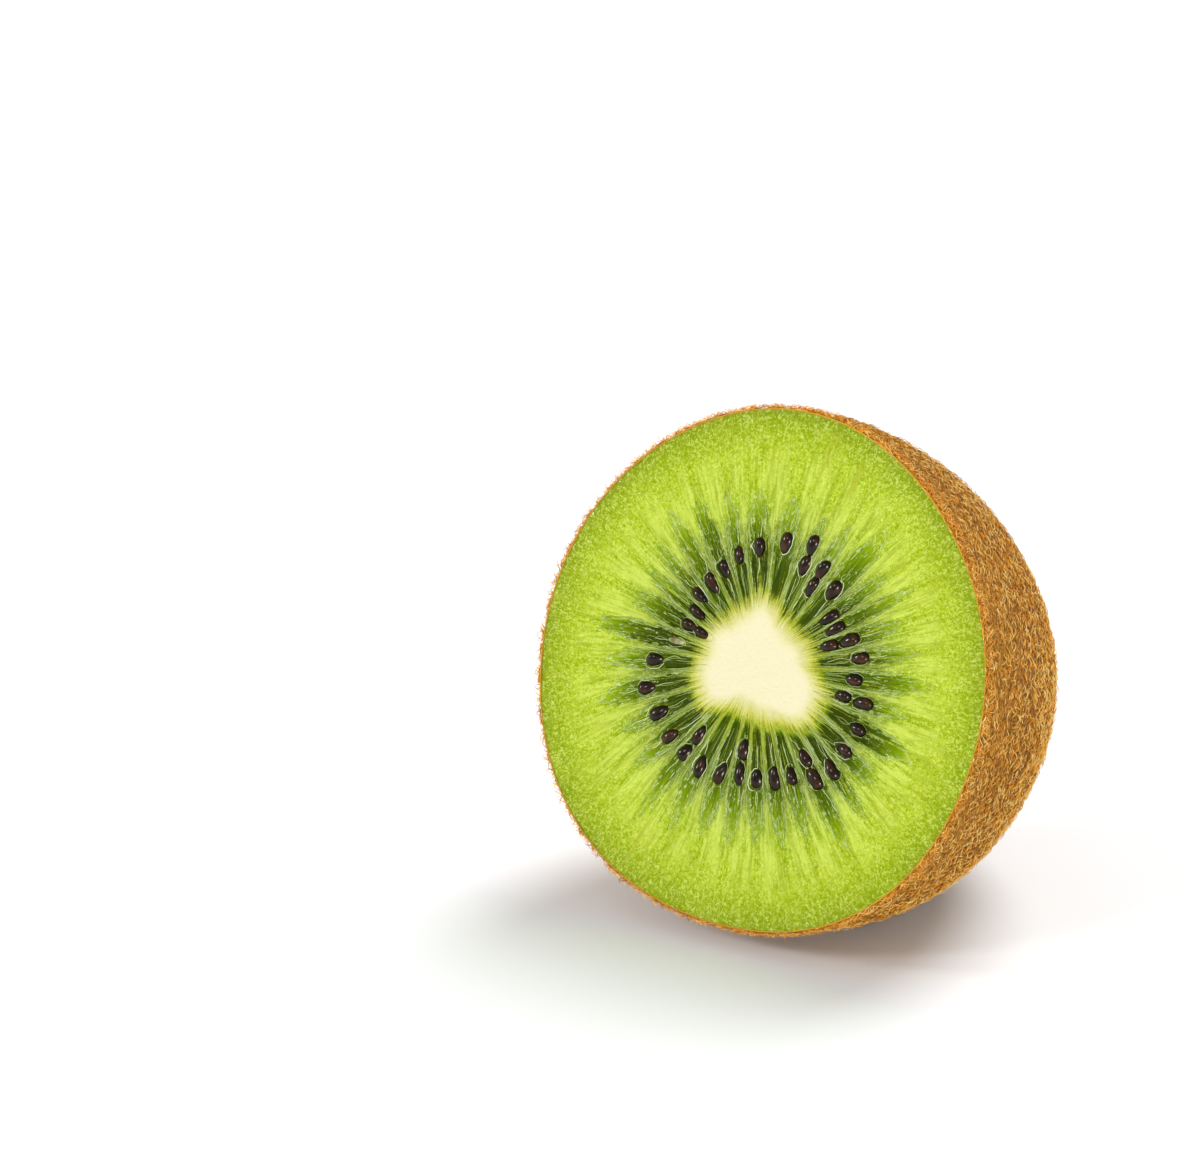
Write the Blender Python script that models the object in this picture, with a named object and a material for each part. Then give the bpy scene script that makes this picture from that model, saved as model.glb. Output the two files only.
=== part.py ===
"""Half of a kiwi fruit, lying on its side with the cut face leaning back.

The fruit is cut across its middle. One closed solid holds flesh, core and skin, because they
grow together: a flat cut face, a rounded body that narrows to the stalk end, the button and
groove that the stalk leaves there, and the small flat spot that the half rests on.

Metres, +Z up. The cut face looks towards -Y and a little upwards. The origin is on the table,
under the middle of the half's bounding box.
"""

import math

import bmesh
import bpy
from mathutils import Matrix, Vector

# The fruit
FACE_RADIUS = 0.0259  # mean radius of the cut face, skin included
HALF_LENGTH = 0.0365  # from the cut face to the stalk end
BODY_FULLNESS = 2.08  # power of the body's superellipse: 2 is an ellipse, more is fuller
END_SAG = 0.0017  # how far the stalk end droops below the middle of the face
FACE_TILT = math.radians(18.3)  # how far the cut face leans back from upright
FOOT_DEPTH = 0.0010  # how much the flat spot under the body takes off its roundness

# Swells round the outline: how many, their height as a share of the radius, and the way one
# of them points, in degrees from +X towards the top of the face
OUTLINE_SWELLS = (
    (3, 0.0122, 86.0),  # the soft corners, one of them almost straight up
    (4, 0.0033, 41.0),
    (5, 0.0044, 15.0),
)

# Shallow lumps along the body, under the skin
LUMP_HEIGHT = 0.005  # share of the radius
LUMPS_ROUND = 2
LUMPS_ALONG = 1.4

# Stalk scar at the far end: a flat woody button with a groove round it
SCAR_RADIUS = 0.0068  # outer edge of the groove
GROOVE_RADIUS = 0.0058  # middle of the groove
GROOVE_WIDTH = 0.0007
GROOVE_DEPTH = 0.0010
BUTTON_HEIGHT = 0.0002  # how far the button stands above the body at the groove
BUTTON_EDGE = 0.0002  # how sharply the button ends: less is sharper
SCAR_OVAL = 0.06  # how much wider than high the scar is, as a share of its radius
SCAR_OVAL_FADE = 12  # how fast the oval gives way to the body's own outline: more is faster

# Mesh
STEPS_ROUND = 96
STEPS_ALONG = 33
SCAR_STEPS = 11
MERGE_DISTANCE = 1e-6

SKIN_COLOR = (0.30, 0.17, 0.06, 1.0)
FLESH_COLOR = (0.30, 0.46, 0.04, 1.0)


def material(name, color, roughness):
    """A Principled material in one colour."""
    made = bpy.data.materials.new(name)
    made.use_nodes = True
    shader = made.node_tree.nodes["Principled BSDF"]
    shader.inputs["Base Color"].default_value = color
    shader.inputs["Roughness"].default_value = roughness
    shader.inputs["Metallic"].default_value = 0.0
    return made


def round_depth(radius):
    """Distance below the cut face at which the round body has this radius."""
    share = radius / FACE_RADIUS
    return HALF_LENGTH * (1.0 - share**BODY_FULLNESS) ** (1.0 / BODY_FULLNESS)


def skin_depth(radius):
    """The same with the stalk scar: the flat button and the groove change the round end."""
    button = 1.0 / (1.0 + math.exp((radius - GROOVE_RADIUS) / BUTTON_EDGE))
    flat = round_depth(GROOVE_RADIUS) + BUTTON_HEIGHT
    groove = GROOVE_DEPTH * math.exp(-(((radius - GROOVE_RADIUS) / GROOVE_WIDTH) ** 2))
    return (1.0 - button) * round_depth(radius) + button * flat - groove


def profile():
    """Points of the body's outline, from the cut rim to the stalk end, in the XZ plane."""
    last_turn = math.acos((SCAR_RADIUS / FACE_RADIUS) ** (BODY_FULLNESS / 2.0))
    turns = [last_turn * step / STEPS_ALONG for step in range(STEPS_ALONG)]
    radii = [FACE_RADIUS * math.cos(turn) ** (2.0 / BODY_FULLNESS) for turn in turns]
    radii += [SCAR_RADIUS * (1.0 - step / SCAR_STEPS) for step in range(SCAR_STEPS + 1)]
    return [Vector((radius, 0.0, -skin_depth(radius))) for radius in radii]


def outline_factor(angle, depth_share):
    """Radius at this place round and along the body, as a share of the even round one."""
    swell = sum(
        height * math.cos(count * (angle - math.radians(direction)))
        for count, height, direction in OUTLINE_SWELLS
    )
    lump = LUMP_HEIGHT * math.sin(
        LUMPS_ROUND * angle + 2.0 * math.pi * LUMPS_ALONG * depth_share
    )
    oval = SCAR_OVAL * math.cos(2.0 * angle) * depth_share**SCAR_OVAL_FADE
    return 1.0 + swell * (1.0 - depth_share**2) + lump * math.sin(math.pi * depth_share) + oval


def turn_body(bm):
    """Spin the outline into a body that stands on its stalk end, and close the cut face."""
    verts = [bm.verts.new(point) for point in profile()]
    edges = [bm.edges.new(pair) for pair in zip(verts, verts[1:])]
    bmesh.ops.spin(
        bm,
        geom=verts + edges,
        cent=(0.0, 0.0, 0.0),
        axis=(0.0, 0.0, 1.0),
        angle=2.0 * math.pi,
        steps=STEPS_ROUND,
        use_duplicate=False,
    )
    bmesh.ops.remove_doubles(bm, verts=bm.verts, dist=MERGE_DISTANCE)
    rim = [edge for edge in bm.edges if edge.is_boundary]
    bmesh.ops.edgeloop_fill(bm, edges=rim)


def shape_body(bm):
    """Give the turned body its swells, its lumps and the droop of its stalk end."""
    for vert in bm.verts:
        depth_share = min(1.0, -vert.co.z / HALF_LENGTH)
        factor = outline_factor(math.atan2(vert.co.y, vert.co.x), depth_share)
        vert.co.x *= factor
        vert.co.y = vert.co.y * factor - END_SAG * depth_share**2


def lay_down(bm):
    """Turn the half onto its side, with its lowest point sunk by the depth of the foot."""
    turn = Matrix.Rotation(math.pi / 2.0 - FACE_TILT, 4, "X")
    bmesh.ops.transform(bm, matrix=turn, verts=bm.verts)
    lowest = min(vert.co.z for vert in bm.verts)
    bmesh.ops.translate(bm, vec=(0.0, 0.0, -FOOT_DEPTH - lowest), verts=bm.verts)


def cut_foot(bm):
    """Slice off what lies below the table, and close the flat spot that this leaves."""
    cut = bmesh.ops.bisect_plane(
        bm,
        geom=bm.verts[:] + bm.edges[:] + bm.faces[:],
        dist=MERGE_DISTANCE,
        plane_co=(0.0, 0.0, 0.0),
        plane_no=(0.0, 0.0, 1.0),
        clear_inner=True,
    )
    edges = [item for item in cut["geom_cut"] if isinstance(item, bmesh.types.BMEdge)]
    bmesh.ops.edgeloop_fill(bm, edges=edges)


def centre_over_origin(bm):
    """Move the half sideways until its bounding box is centred on the Z axis."""
    for axis in (0, 1):
        values = [vert.co[axis] for vert in bm.verts]
        shift = Vector()
        shift[axis] = -(min(values) + max(values)) / 2.0
        bmesh.ops.translate(bm, vec=shift, verts=bm.verts)


def mark_flesh(bm):
    """Give the cut face the flesh material: it is the one face that looks along its normal."""
    normal = Vector((0.0, -math.cos(FACE_TILT), math.sin(FACE_TILT)))
    for face in bm.faces:
        if face.normal.dot(normal) > 0.9999 and len(face.verts) == STEPS_ROUND:
            face.material_index = 1


def kiwi_half():
    """The half as one object."""
    bm = bmesh.new()
    turn_body(bm)
    shape_body(bm)
    lay_down(bm)
    cut_foot(bm)
    centre_over_origin(bm)
    bmesh.ops.recalc_face_normals(bm, faces=bm.faces)
    bm.normal_update()
    mark_flesh(bm)

    mesh = bpy.data.meshes.new("kiwi_half")
    bm.to_mesh(mesh)
    bm.free()
    mesh.materials.append(material("skin", SKIN_COLOR, 0.85))
    mesh.materials.append(material("flesh", FLESH_COLOR, 0.35))
    mesh.shade_smooth()
    mesh.set_sharp_from_angle(angle=math.radians(40.0))
    half = bpy.data.objects.new("kiwi_half", mesh)
    bpy.context.scene.collection.objects.link(half)
    return half


for old in list(bpy.data.objects):
    bpy.data.objects.remove(old, do_unlink=True)

kiwi_half()
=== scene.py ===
# %% [markdown]
# # Half a kiwi fruit, cut face forward
# A ripe green kiwi fruit, cut across its middle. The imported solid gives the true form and
# place of the half; this lesson dresses it: moist flesh with its seed chambers, a cream core,
# glossy seeds in wiry wet membranes, and a brown skin under a coat of short curly hairs.
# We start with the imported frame, because every piece takes its place from it.

# %% Load the frame
import math

import bpy
import numpy as np
from mathutils import Matrix, Vector


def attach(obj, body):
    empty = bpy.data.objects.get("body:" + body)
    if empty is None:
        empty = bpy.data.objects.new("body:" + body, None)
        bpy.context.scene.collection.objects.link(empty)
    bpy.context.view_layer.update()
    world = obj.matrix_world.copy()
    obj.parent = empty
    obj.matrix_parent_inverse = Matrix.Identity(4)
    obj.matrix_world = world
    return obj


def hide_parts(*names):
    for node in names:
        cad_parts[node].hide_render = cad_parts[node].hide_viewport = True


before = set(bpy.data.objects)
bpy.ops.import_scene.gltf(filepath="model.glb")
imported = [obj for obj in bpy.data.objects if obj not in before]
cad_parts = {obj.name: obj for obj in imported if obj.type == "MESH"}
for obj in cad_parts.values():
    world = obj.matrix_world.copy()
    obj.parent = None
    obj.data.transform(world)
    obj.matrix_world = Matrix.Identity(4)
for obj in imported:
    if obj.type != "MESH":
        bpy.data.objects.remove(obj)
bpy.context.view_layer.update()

MM = 0.001
MERGE_DISTANCE = 1e-6  # vertices closer together than this are one
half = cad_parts["kiwi_half"]

# %% [markdown]
# ## Where the cut is
# The cut face is the only flat one that looks forward. Its corners give us the middle of the
# face, the way it leans, and its outline. We keep them as one matrix, FACE, so that a piece
# can be modelled lying flat, face up, with the fruit's axis on Z, and then be laid in place.

# %% Measure the cut face
def looks_forward(polygon):
    """True for the cut face, the only flat one at the front."""
    return polygon.normal.y < -0.9


cut = [polygon for polygon in half.data.polygons if looks_forward(polygon)]
face_normal = sum((polygon.normal * polygon.area for polygon in cut), Vector()).normalized()
corners = {tuple(half.data.vertices[i].co) for polygon in cut for i in polygon.vertices}
face_centre = Vector(np.mean(sorted(corners), axis=0))
side = Vector((1.0, 0.0, 0.0))
top = face_normal.cross(side)
FACE = Matrix.Translation(face_centre) @ Matrix((side, top, face_normal)).transposed().to_4x4()
TO_FACE = FACE.inverted()

rim = np.array([TO_FACE @ Vector(corner) for corner in sorted(corners)])
rim_angle = np.arctan2(rim[:, 1], rim[:, 0])
rim_distance = np.hypot(rim[:, 0], rim[:, 1])


def rim_radius(angle):
    """Distance from the middle of the face to the skin's outer edge, at an angle."""
    return np.interp(angle, rim_angle, rim_distance, period=2.0 * math.pi)


def seen_from_face(places):
    """Places in the fruit as the face sees them: across it, up it, and out of it."""
    return (places - np.array(face_centre)) @ np.array(FACE.to_3x3())


FACE_RADIUS = float(rim_distance.mean())
body = np.array([TO_FACE @ vertex.co for vertex in half.data.vertices])
HALF_LENGTH = -float(body[:, 2].min())
print(f"face radius {FACE_RADIUS / MM:.1f} mm, half length {HALF_LENGTH / MM:.1f} mm")

# %% [markdown]
# ## Working by hand, in code
# Each new piece starts from a Blender primitive and is shaped in edit mode. These small
# helpers do what the hands do: clear the selection, name the new object, pick vertices by
# their place, and lay a finished piece into the fruit.


# %% Helpers for modelling
def new_piece(name, add, **settings):
    """Add a primitive with nothing else selected, and give it its name."""
    bpy.ops.object.select_all(action="DESELECT")
    add(**settings)
    piece = bpy.context.object
    piece.name = name
    piece.data.name = name
    return piece


def only(piece):
    """Make one object the selected and active one."""
    bpy.ops.object.select_all(action="DESELECT")
    piece.select_set(True)
    bpy.context.view_layer.objects.active = piece


def points(piece):
    """The piece's vertices as an array of places."""
    flat = np.empty(len(piece.data.vertices) * 3)
    piece.data.vertices.foreach_get("co", flat)
    return flat.reshape(-1, 3)


def set_points(piece, places):
    """Move the piece's vertices to these places."""
    piece.data.vertices.foreach_set("co", np.asarray(places).ravel())
    piece.data.update()


def lay_in(piece):
    """Take a piece that was modelled face up into the fruit, and apply the move."""
    piece.data.transform(FACE)
    piece.data.update()


# %% A lathe, and smooth shading
def turned_piece(name, outline, steps):
    """Spin an outline in the XZ plane round Z, as on a lathe."""
    piece = new_piece(name, bpy.ops.mesh.primitive_plane_add, size=MM)
    bpy.ops.object.mode_set(mode="EDIT")
    bpy.ops.mesh.select_all(action="SELECT")
    bpy.ops.mesh.merge(type="CENTER")
    place = Vector()
    for number, (x, z) in enumerate(outline):
        move = Vector((x, 0.0, z)) - place
        if number == 0:
            bpy.ops.transform.translate(value=move)
        else:
            bpy.ops.mesh.extrude_region_move(TRANSFORM_OT_translate={"value": move})
        place = Vector((x, 0.0, z))
    bpy.ops.object.mode_set(mode="OBJECT")
    screw = piece.modifiers.new("turn", "SCREW")
    screw.axis = "Z"
    screw.angle = 2.0 * math.pi
    screw.steps = screw.render_steps = steps
    screw.use_merge_vertices = True
    screw.merge_threshold = MERGE_DISTANCE
    bpy.ops.object.modifier_apply(modifier=screw.name)
    bpy.ops.object.mode_set(mode="EDIT")
    bpy.ops.mesh.select_all(action="SELECT")
    bpy.ops.mesh.remove_doubles(threshold=MERGE_DISTANCE)
    bpy.ops.mesh.normals_make_consistent(inside=False)
    bpy.ops.object.mode_set(mode="OBJECT")
    return piece


def smooth(piece):
    """Shade the piece smooth, with its sharp edges kept."""
    only(piece)
    bpy.ops.object.shade_smooth_by_angle(angle=math.radians(50.0))


# %% Soft steps and soft unevenness
def smoothstep(low, high, value):
    """0 below low, 1 above high, and a soft rise between them."""
    share = np.clip((value - low) / (high - low), 0.0, 1.0)
    return share * share * (3.0 - 2.0 * share)


def waves(coordinates, seed, count=9):
    """Smooth seeded unevenness, about -1 to 1: a sum of sine waves in random directions."""
    chance = np.random.default_rng(seed)
    total = 0.0
    for _ in range(count):
        direction = chance.normal(size=coordinates.shape[-1])
        total = total + np.sin(coordinates @ direction + chance.uniform(0.0, 2.0 * math.pi))
    return total / math.sqrt(count / 2.0)


# %% [markdown]
# ## The plan of the seed chambers
# Round the core of a real kiwi fruit stand about thirty narrow chambers, like the spokes of a
# wheel. Thin pale walls part them, dark green jelly fills them, and each holds a seed or two.
# The fruit isn't quite round: it has three soft corners, and the core and the ring of seeds
# swell towards them. One plan of the chambers serves the flesh, the seeds and the membranes.

# %% Plan the chambers
CHAMBERS = 33
CORNER = math.radians(93.0)  # one of the three soft corners: almost straight up
CORE_CENTRE = np.array([-0.4, 0.55]) * MM
CORE_RADIUS = 6.13 * MM
CORE_CORNERS = 0.88 * MM  # how far the core swells towards the fruit's corners
CORE_OVAL = 0.95 * MM
CORE_DENTS = 0.36 * MM
CORE_RIPPLES = 0.14 * MM
SEED_RING = 11.5 * MM
SEED_CORNERS = 1.4 * MM  # the same swell in the ring of seeds
chance = np.random.default_rng(11)

steps = 1.0 + 0.22 * chance.uniform(-1.0, 1.0, CHAMBERS)
wall_angles = np.cumsum(steps) / steps.sum() * 2.0 * math.pi
chamber_length = 0.73 + 0.08 * chance.uniform(-1.0, 1.0, CHAMBERS)  # share of the radius
chamber_dark = 1.0 + 0.18 * chance.uniform(-1.0, 1.0, CHAMBERS)
chamber_width = 0.78 + 0.10 * chance.uniform(-1.0, 1.0, CHAMBERS)  # share of its sector
print(CHAMBERS, "chambers,", f"{360.0 / CHAMBERS:.1f} degrees apart")


def corner_swell(angle):
    """1 towards the fruit's soft corners, -1 between them."""
    return np.cos(3.0 * (angle - CORNER))


def core_edge(angle):
    """Distance from the middle of the core to its soft edge."""
    oval = CORE_OVAL * np.cos(2.0 * (angle + 0.175))
    dents = CORE_DENTS * np.cos(6.0 * angle + 2.5) + CORE_RIPPLES * np.cos(11.0 * angle + 0.7)
    return CORE_RADIUS + CORE_CORNERS * corner_swell(angle) + oval + dents


def seed_ring(angle):
    """Distance from the middle of the face to the ring of seeds."""
    return SEED_RING + SEED_CORNERS * corner_swell(angle)


# %% Find the way among the chambers
SPOKE_BEND = 0.022  # how far the spokes wander, in radians
SOLVER_ROUNDS = 8  # enough to find a chamber's place to well under a micrometre


def spoke_angle(x, y):
    """Angle of the spoke through a place on the face, and the place's share of the radius.

    The spokes start from the core's own middle and bend gently on their way to the skin.
    """
    share = np.hypot(x, y) / rim_radius(np.arctan2(y, x))
    pull = np.clip(1.0 - share, 0.0, 1.0) ** 1.5
    angle = np.arctan2(y - CORE_CENTRE[1] * pull, x - CORE_CENTRE[0] * pull)
    around = np.stack([np.cos(angle), np.sin(angle)], axis=-1)
    bend = waves(np.concatenate([around * 3.0, share[..., None] * 3.0], axis=-1), seed=5)
    return (angle + SPOKE_BEND * bend) % (2.0 * math.pi), share


def chamber_place(x, y):
    """For places on the face: chamber number, place across it from -1 to 1, and share."""
    angle, share = spoke_angle(x, y)
    number = np.searchsorted(wall_angles, angle) % CHAMBERS
    end = wall_angles[number]
    start = np.where(number == 0, 0.0, wall_angles[number - 1])
    across = 2.0 * (angle - start) / (end - start) - 1.0
    return number, across, share


def in_chamber(number, across, share):
    """The place on the face for a chamber, a place across it, and a share of the radius."""
    end = wall_angles[number]
    start = np.where(number == 0, 0.0, wall_angles[number - 1])
    angle = start + 0.5 * (across + 1.0) * (end - start)
    turn = angle
    for _ in range(SOLVER_ROUNDS):
        x = share * rim_radius(turn) * np.cos(turn)
        y = share * rim_radius(turn) * np.sin(turn)
        miss = angle - spoke_angle(x, y)[0]
        turn = turn + np.arctan2(np.sin(miss), np.cos(miss))
    return x, y


# %% [markdown]
# ## The flesh
# The flesh is one closed solid: a flat disc of dense rings for the cut face, and behind it a
# plain back that stays hidden just inside the skin. A lathe turn makes both at once. The
# rings are closest together where the chambers are, because that is where the relief is.

# %% Turn the flesh
ROUND_STEPS = 600
SKIN_THICKNESS = 0.10 * MM
BACK_RINGS = 13
shares = np.concatenate([
    np.linspace(0.0, 0.2, 12, endpoint=False),  # the core
    np.linspace(0.2, 0.8, 102, endpoint=False),  # the chambers
    np.linspace(0.8, 1.0, 17),  # the outer flesh
])
back_turns = np.linspace(0.0, math.pi / 2.0, BACK_RINGS + 1)[1:]
outline = [(share * FACE_RADIUS, 0.0) for share in shares]
outline += [
    (FACE_RADIUS * math.cos(turn), -HALF_LENGTH * math.sin(turn)) for turn in back_turns
]
flesh = turned_piece("flesh", outline, ROUND_STEPS)
print("flesh:", len(flesh.data.polygons), "faces")


# %% [markdown]
# ## The relief of the cut face
# A knife leaves the face nearly flat, but not quite: the jelly in the chambers sinks a little,
# the walls stand up between them, the core is proud, and the edge of the flesh rounds off
# towards the skin. The same sums that move the vertices also give the masks that the material
# reads later, so the colours sit exactly on the shapes.

# %% Work out the relief
CHAMBER_DEPTH = 0.32 * MM
WALL_HEIGHT = 0.06 * MM
CORE_HEIGHT = 0.12 * MM
EDGE_DROP = 0.12 * MM
WANDER = 0.03 * MM  # slow unevenness that the knife leaves
CORE_SOFT_IN = 2.1 * MM  # the core fades to green from this far inside its edge
CORE_SOFT_OUT = 2.2 * MM  # to this far outside it


def chamber_opening(number, along):
    """How wide a chamber is open, as a share of its sector, along it from 0 to 1."""
    opening = chamber_width[number] * (0.76 + 0.24 * smoothstep(0.0, 0.35, along))
    return opening * (1.0 - np.clip(along, 0.0, 1.0) ** 2.2) ** 0.85


def cut_face(x, y):
    """Height of the cut face at a place, and the masks that colour it there."""
    number, across, share = chamber_place(x, y)
    side_lines = np.stack([number * 5.1 + np.sign(across) * 3.0, share * 60.0], axis=-1)
    ragged = 0.05 * waves(side_lines, seed=23)
    ragged = ragged + 0.05 * waves(np.stack([x, y], axis=-1) / (0.22 * MM), seed=24)
    core_x, core_y = x - CORE_CENTRE[0], y - CORE_CENTRE[1]
    edge = core_edge(np.arctan2(core_y, core_x))
    core = 1.0 - smoothstep(-CORE_SOFT_IN, CORE_SOFT_OUT, np.hypot(core_x, core_y) - edge)

    start = edge / FACE_RADIUS
    along = np.clip((share - start) / (chamber_length[number] - start), 0.0, 1.0)
    off = np.abs(across) + ragged * smoothstep(0.30, 0.50, share)
    gap = off - chamber_opening(number, along)
    ends = smoothstep(0.0, 0.11, along) * (1.0 - smoothstep(0.84, 1.0, along))
    darkness = 1.0 - 0.85 * smoothstep(0.26, 0.94, along)
    inside = (1.0 - smoothstep(-0.22, 0.16, gap)) * ends

    wall_line = np.exp(-(((1.0 - off) / 0.13) ** 2))
    inner_zone = smoothstep(0.24, 0.32, share) * (1.0 - smoothstep(0.50, 0.66, share))
    height = -CHAMBER_DEPTH * inside * (0.45 + 0.55 * darkness)
    height = height + WALL_HEIGHT * wall_line * inner_zone + CORE_HEIGHT * core
    height = height + WANDER * waves(np.stack([x, y], axis=-1) / (2.2 * MM), seed=21)
    height = height - EDGE_DROP * smoothstep(0.972, 1.0, share) ** 2
    spoke = spoke_angle(x, y)[0]
    masks = {
        "share": share,
        "gap": gap,
        "jelly": ends * darkness * chamber_dark[number],
        "core": core,
        "spoke": np.stack([np.cos(spoke), np.sin(spoke), share], axis=-1),
    }
    return height, masks


# %% Shape the flesh
BACK_INSET = 0.97  # the hidden back's place on the way from the face's middle to the skin

spun = points(flesh)
on_face = spun[:, 2] > -1e-7
face_x, face_y = spun[on_face, 0], spun[on_face, 1]
fit = (rim_radius(np.arctan2(face_y, face_x)) - SKIN_THICKNESS) / FACE_RADIUS
face_x, face_y = face_x * fit, face_y * fit
face_height, face_masks = cut_face(face_x, face_y)

shaped = spun.copy()
shaped[on_face] = np.stack([face_x, face_y, face_height], axis=-1)
start = FACE @ Vector((0.0, 0.0, -0.02 * MM))
for index in np.flatnonzero(~on_face):
    direction = FACE.to_3x3() @ Vector(spun[index]).normalized()
    _found, place, _normal, _face = half.ray_cast(start, direction)
    shaped[index] = (TO_FACE @ place) * BACK_INSET
set_points(flesh, shaped)
print("relief:", f"{face_height.min() / MM:.2f} to {face_height.max() / MM:.2f} mm")


# %% Keep the masks as attributes
def keep(piece, name, values):
    """Store one number, or one vector, per vertex under a name that a material can read."""
    values = np.asarray(values, dtype=np.float32)
    if values.ndim == 2:
        made = piece.data.attributes.new(name, "FLOAT_VECTOR", "POINT")
        made.data.foreach_set("vector", values.ravel())
    else:
        made = piece.data.attributes.new(name, "FLOAT", "POINT")
        made.data.foreach_set("value", values)


for name, values in face_masks.items():
    whole = np.full((len(spun),) + values.shape[1:], 0.0 if name == "core" else 1.0)
    whole[on_face] = values
    keep(flesh, name, whole)
lay_in(flesh)
smooth(flesh)

# %% [markdown]
# ## The skin
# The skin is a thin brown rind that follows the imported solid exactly, so we copy the solid,
# merge its loose triangles, take the cut face off it, and let Subdivision Surface round it.
# A narrow lip turned in at the cut shows how thin the rind is.

# %% Make the skin
LIP_WIDTH = 0.13 * MM
LIP_DEPTH = 0.8  # how far the lip goes down between flesh and skin, in millimetres

skin = bpy.data.objects.new("skin", half.data.copy())
bpy.context.scene.collection.objects.link(skin)
only(skin)
bpy.ops.object.mode_set(mode="EDIT")
bpy.ops.mesh.select_all(action="SELECT")
bpy.ops.mesh.remove_doubles(threshold=MERGE_DISTANCE)
bpy.ops.mesh.tris_convert_to_quads(face_threshold=math.radians(30.0))
bpy.ops.mesh.select_all(action="DESELECT")
bpy.ops.mesh.select_mode(type="FACE")
bpy.ops.object.mode_set(mode="OBJECT")
for polygon in skin.data.polygons:
    polygon.select = looks_forward(polygon)
bpy.ops.object.mode_set(mode="EDIT")
bpy.ops.mesh.delete(type="FACE")
bpy.ops.mesh.select_mode(type="VERT")
bpy.ops.object.mode_set(mode="OBJECT")
rounder = skin.modifiers.new("round", "SUBSURF")
rounder.levels = rounder.render_levels = 2
bpy.ops.object.modifier_apply(modifier=rounder.name)
rind_faces = len(skin.data.polygons)

bpy.ops.object.mode_set(mode="EDIT")
bpy.ops.mesh.select_all(action="DESELECT")
bpy.ops.mesh.select_non_manifold()
bpy.ops.mesh.extrude_region_move(TRANSFORM_OT_translate={"value": (0.0, 0.0, 0.0)})
lip_shrink = 1.0 - LIP_WIDTH / FACE_RADIUS
bpy.ops.transform.resize(value=(lip_shrink,) * 3, center_override=face_centre)
lip_move = -face_normal * LIP_DEPTH * MM
bpy.ops.mesh.extrude_region_move(TRANSFORM_OT_translate={"value": lip_move})
bpy.ops.object.mode_set(mode="OBJECT")
skin.data.materials.clear()
smooth(skin)
print("skin:", len(skin.data.polygons), "faces")

# %% [markdown]
# ## The seeds
# A kiwi seed is a flattened drop about 2.3 mm long, pointed where it hung from the core. We
# model one from a sphere and taper it with Simple Deform. Copies go into the chambers, each
# with its own mesh, turned and scaled a little by chance, and sunk in the jelly to its middle.

# %% Model one seed
SEED_LENGTH = 2.35 * MM
SEED_WIDTH = 1.42 * MM
SEED_HEIGHT = 1.05 * MM

seed_form = new_piece(
    "seed_form", bpy.ops.mesh.primitive_uv_sphere_add, segments=20, ring_count=12, radius=0.5
)
bpy.ops.transform.rotate(value=math.pi / 2.0, orient_axis="Y", center_override=(0.0, 0.0, 0.0))
bpy.ops.object.transform_apply(location=True, rotation=True, scale=True)
taper = seed_form.modifiers.new("taper", "SIMPLE_DEFORM")
taper.deform_method = "TAPER"
taper.deform_axis = "X"
taper.factor = 0.45
bpy.ops.object.modifier_apply(modifier=taper.name)
bpy.ops.transform.resize(value=(SEED_LENGTH, SEED_WIDTH, SEED_HEIGHT))
bpy.ops.object.transform_apply(location=True, rotation=True, scale=True)
print("one seed:", [round(value / MM, 2) for value in seed_form.dimensions], "mm")

# %% Choose a place for every seed
face_number, face_across, _share = chamber_place(face_x, face_y)
face_distance = np.hypot(face_x, face_y)


def spot(chamber, distance):
    """The middle of a chamber at a distance from the middle of the face: x, y and height."""
    cost = np.abs(face_across) + 40.0 * np.abs(face_distance - distance) / FACE_RADIUS
    index = np.argmin(np.where(face_number == chamber, cost, np.inf))
    return np.array([face_x[index], face_y[index], face_height[index]])


SECOND_SEED = 0.40  # share of the chambers that hold two

seed_spots = []
for chamber in range(CHAMBERS):
    middle = wall_angles[chamber] - 0.5 * 2.0 * math.pi / CHAMBERS
    distance = float(seed_ring(middle)) + chance.uniform(-0.9, 0.9) * MM
    seed_spots.append(spot(chamber, distance))
    if chance.random() < SECOND_SEED:
        way = 1.0 if chance.random() < 0.5 else -1.0
        second = distance + way * chance.uniform(1.9, 2.5) * MM
        seed_spots.append(spot(chamber, second))
print(len(seed_spots), "seeds")


# %% Put the seeds in the chambers
def place_copy(form, name, matrix):
    """A copy of a form with its own mesh, moved by a matrix."""
    copy = bpy.data.objects.new(name, form.data.copy())
    copy.data.transform(matrix)
    bpy.context.scene.collection.objects.link(copy)
    return copy


def join(copies, name):
    """Join objects into one piece."""
    bpy.ops.object.select_all(action="DESELECT")
    for copy in copies:
        copy.select_set(True)
    bpy.context.view_layer.objects.active = copies[0]
    bpy.ops.object.join()
    copies[0].name = name
    copies[0].data.name = name
    return copies[0]


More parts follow.
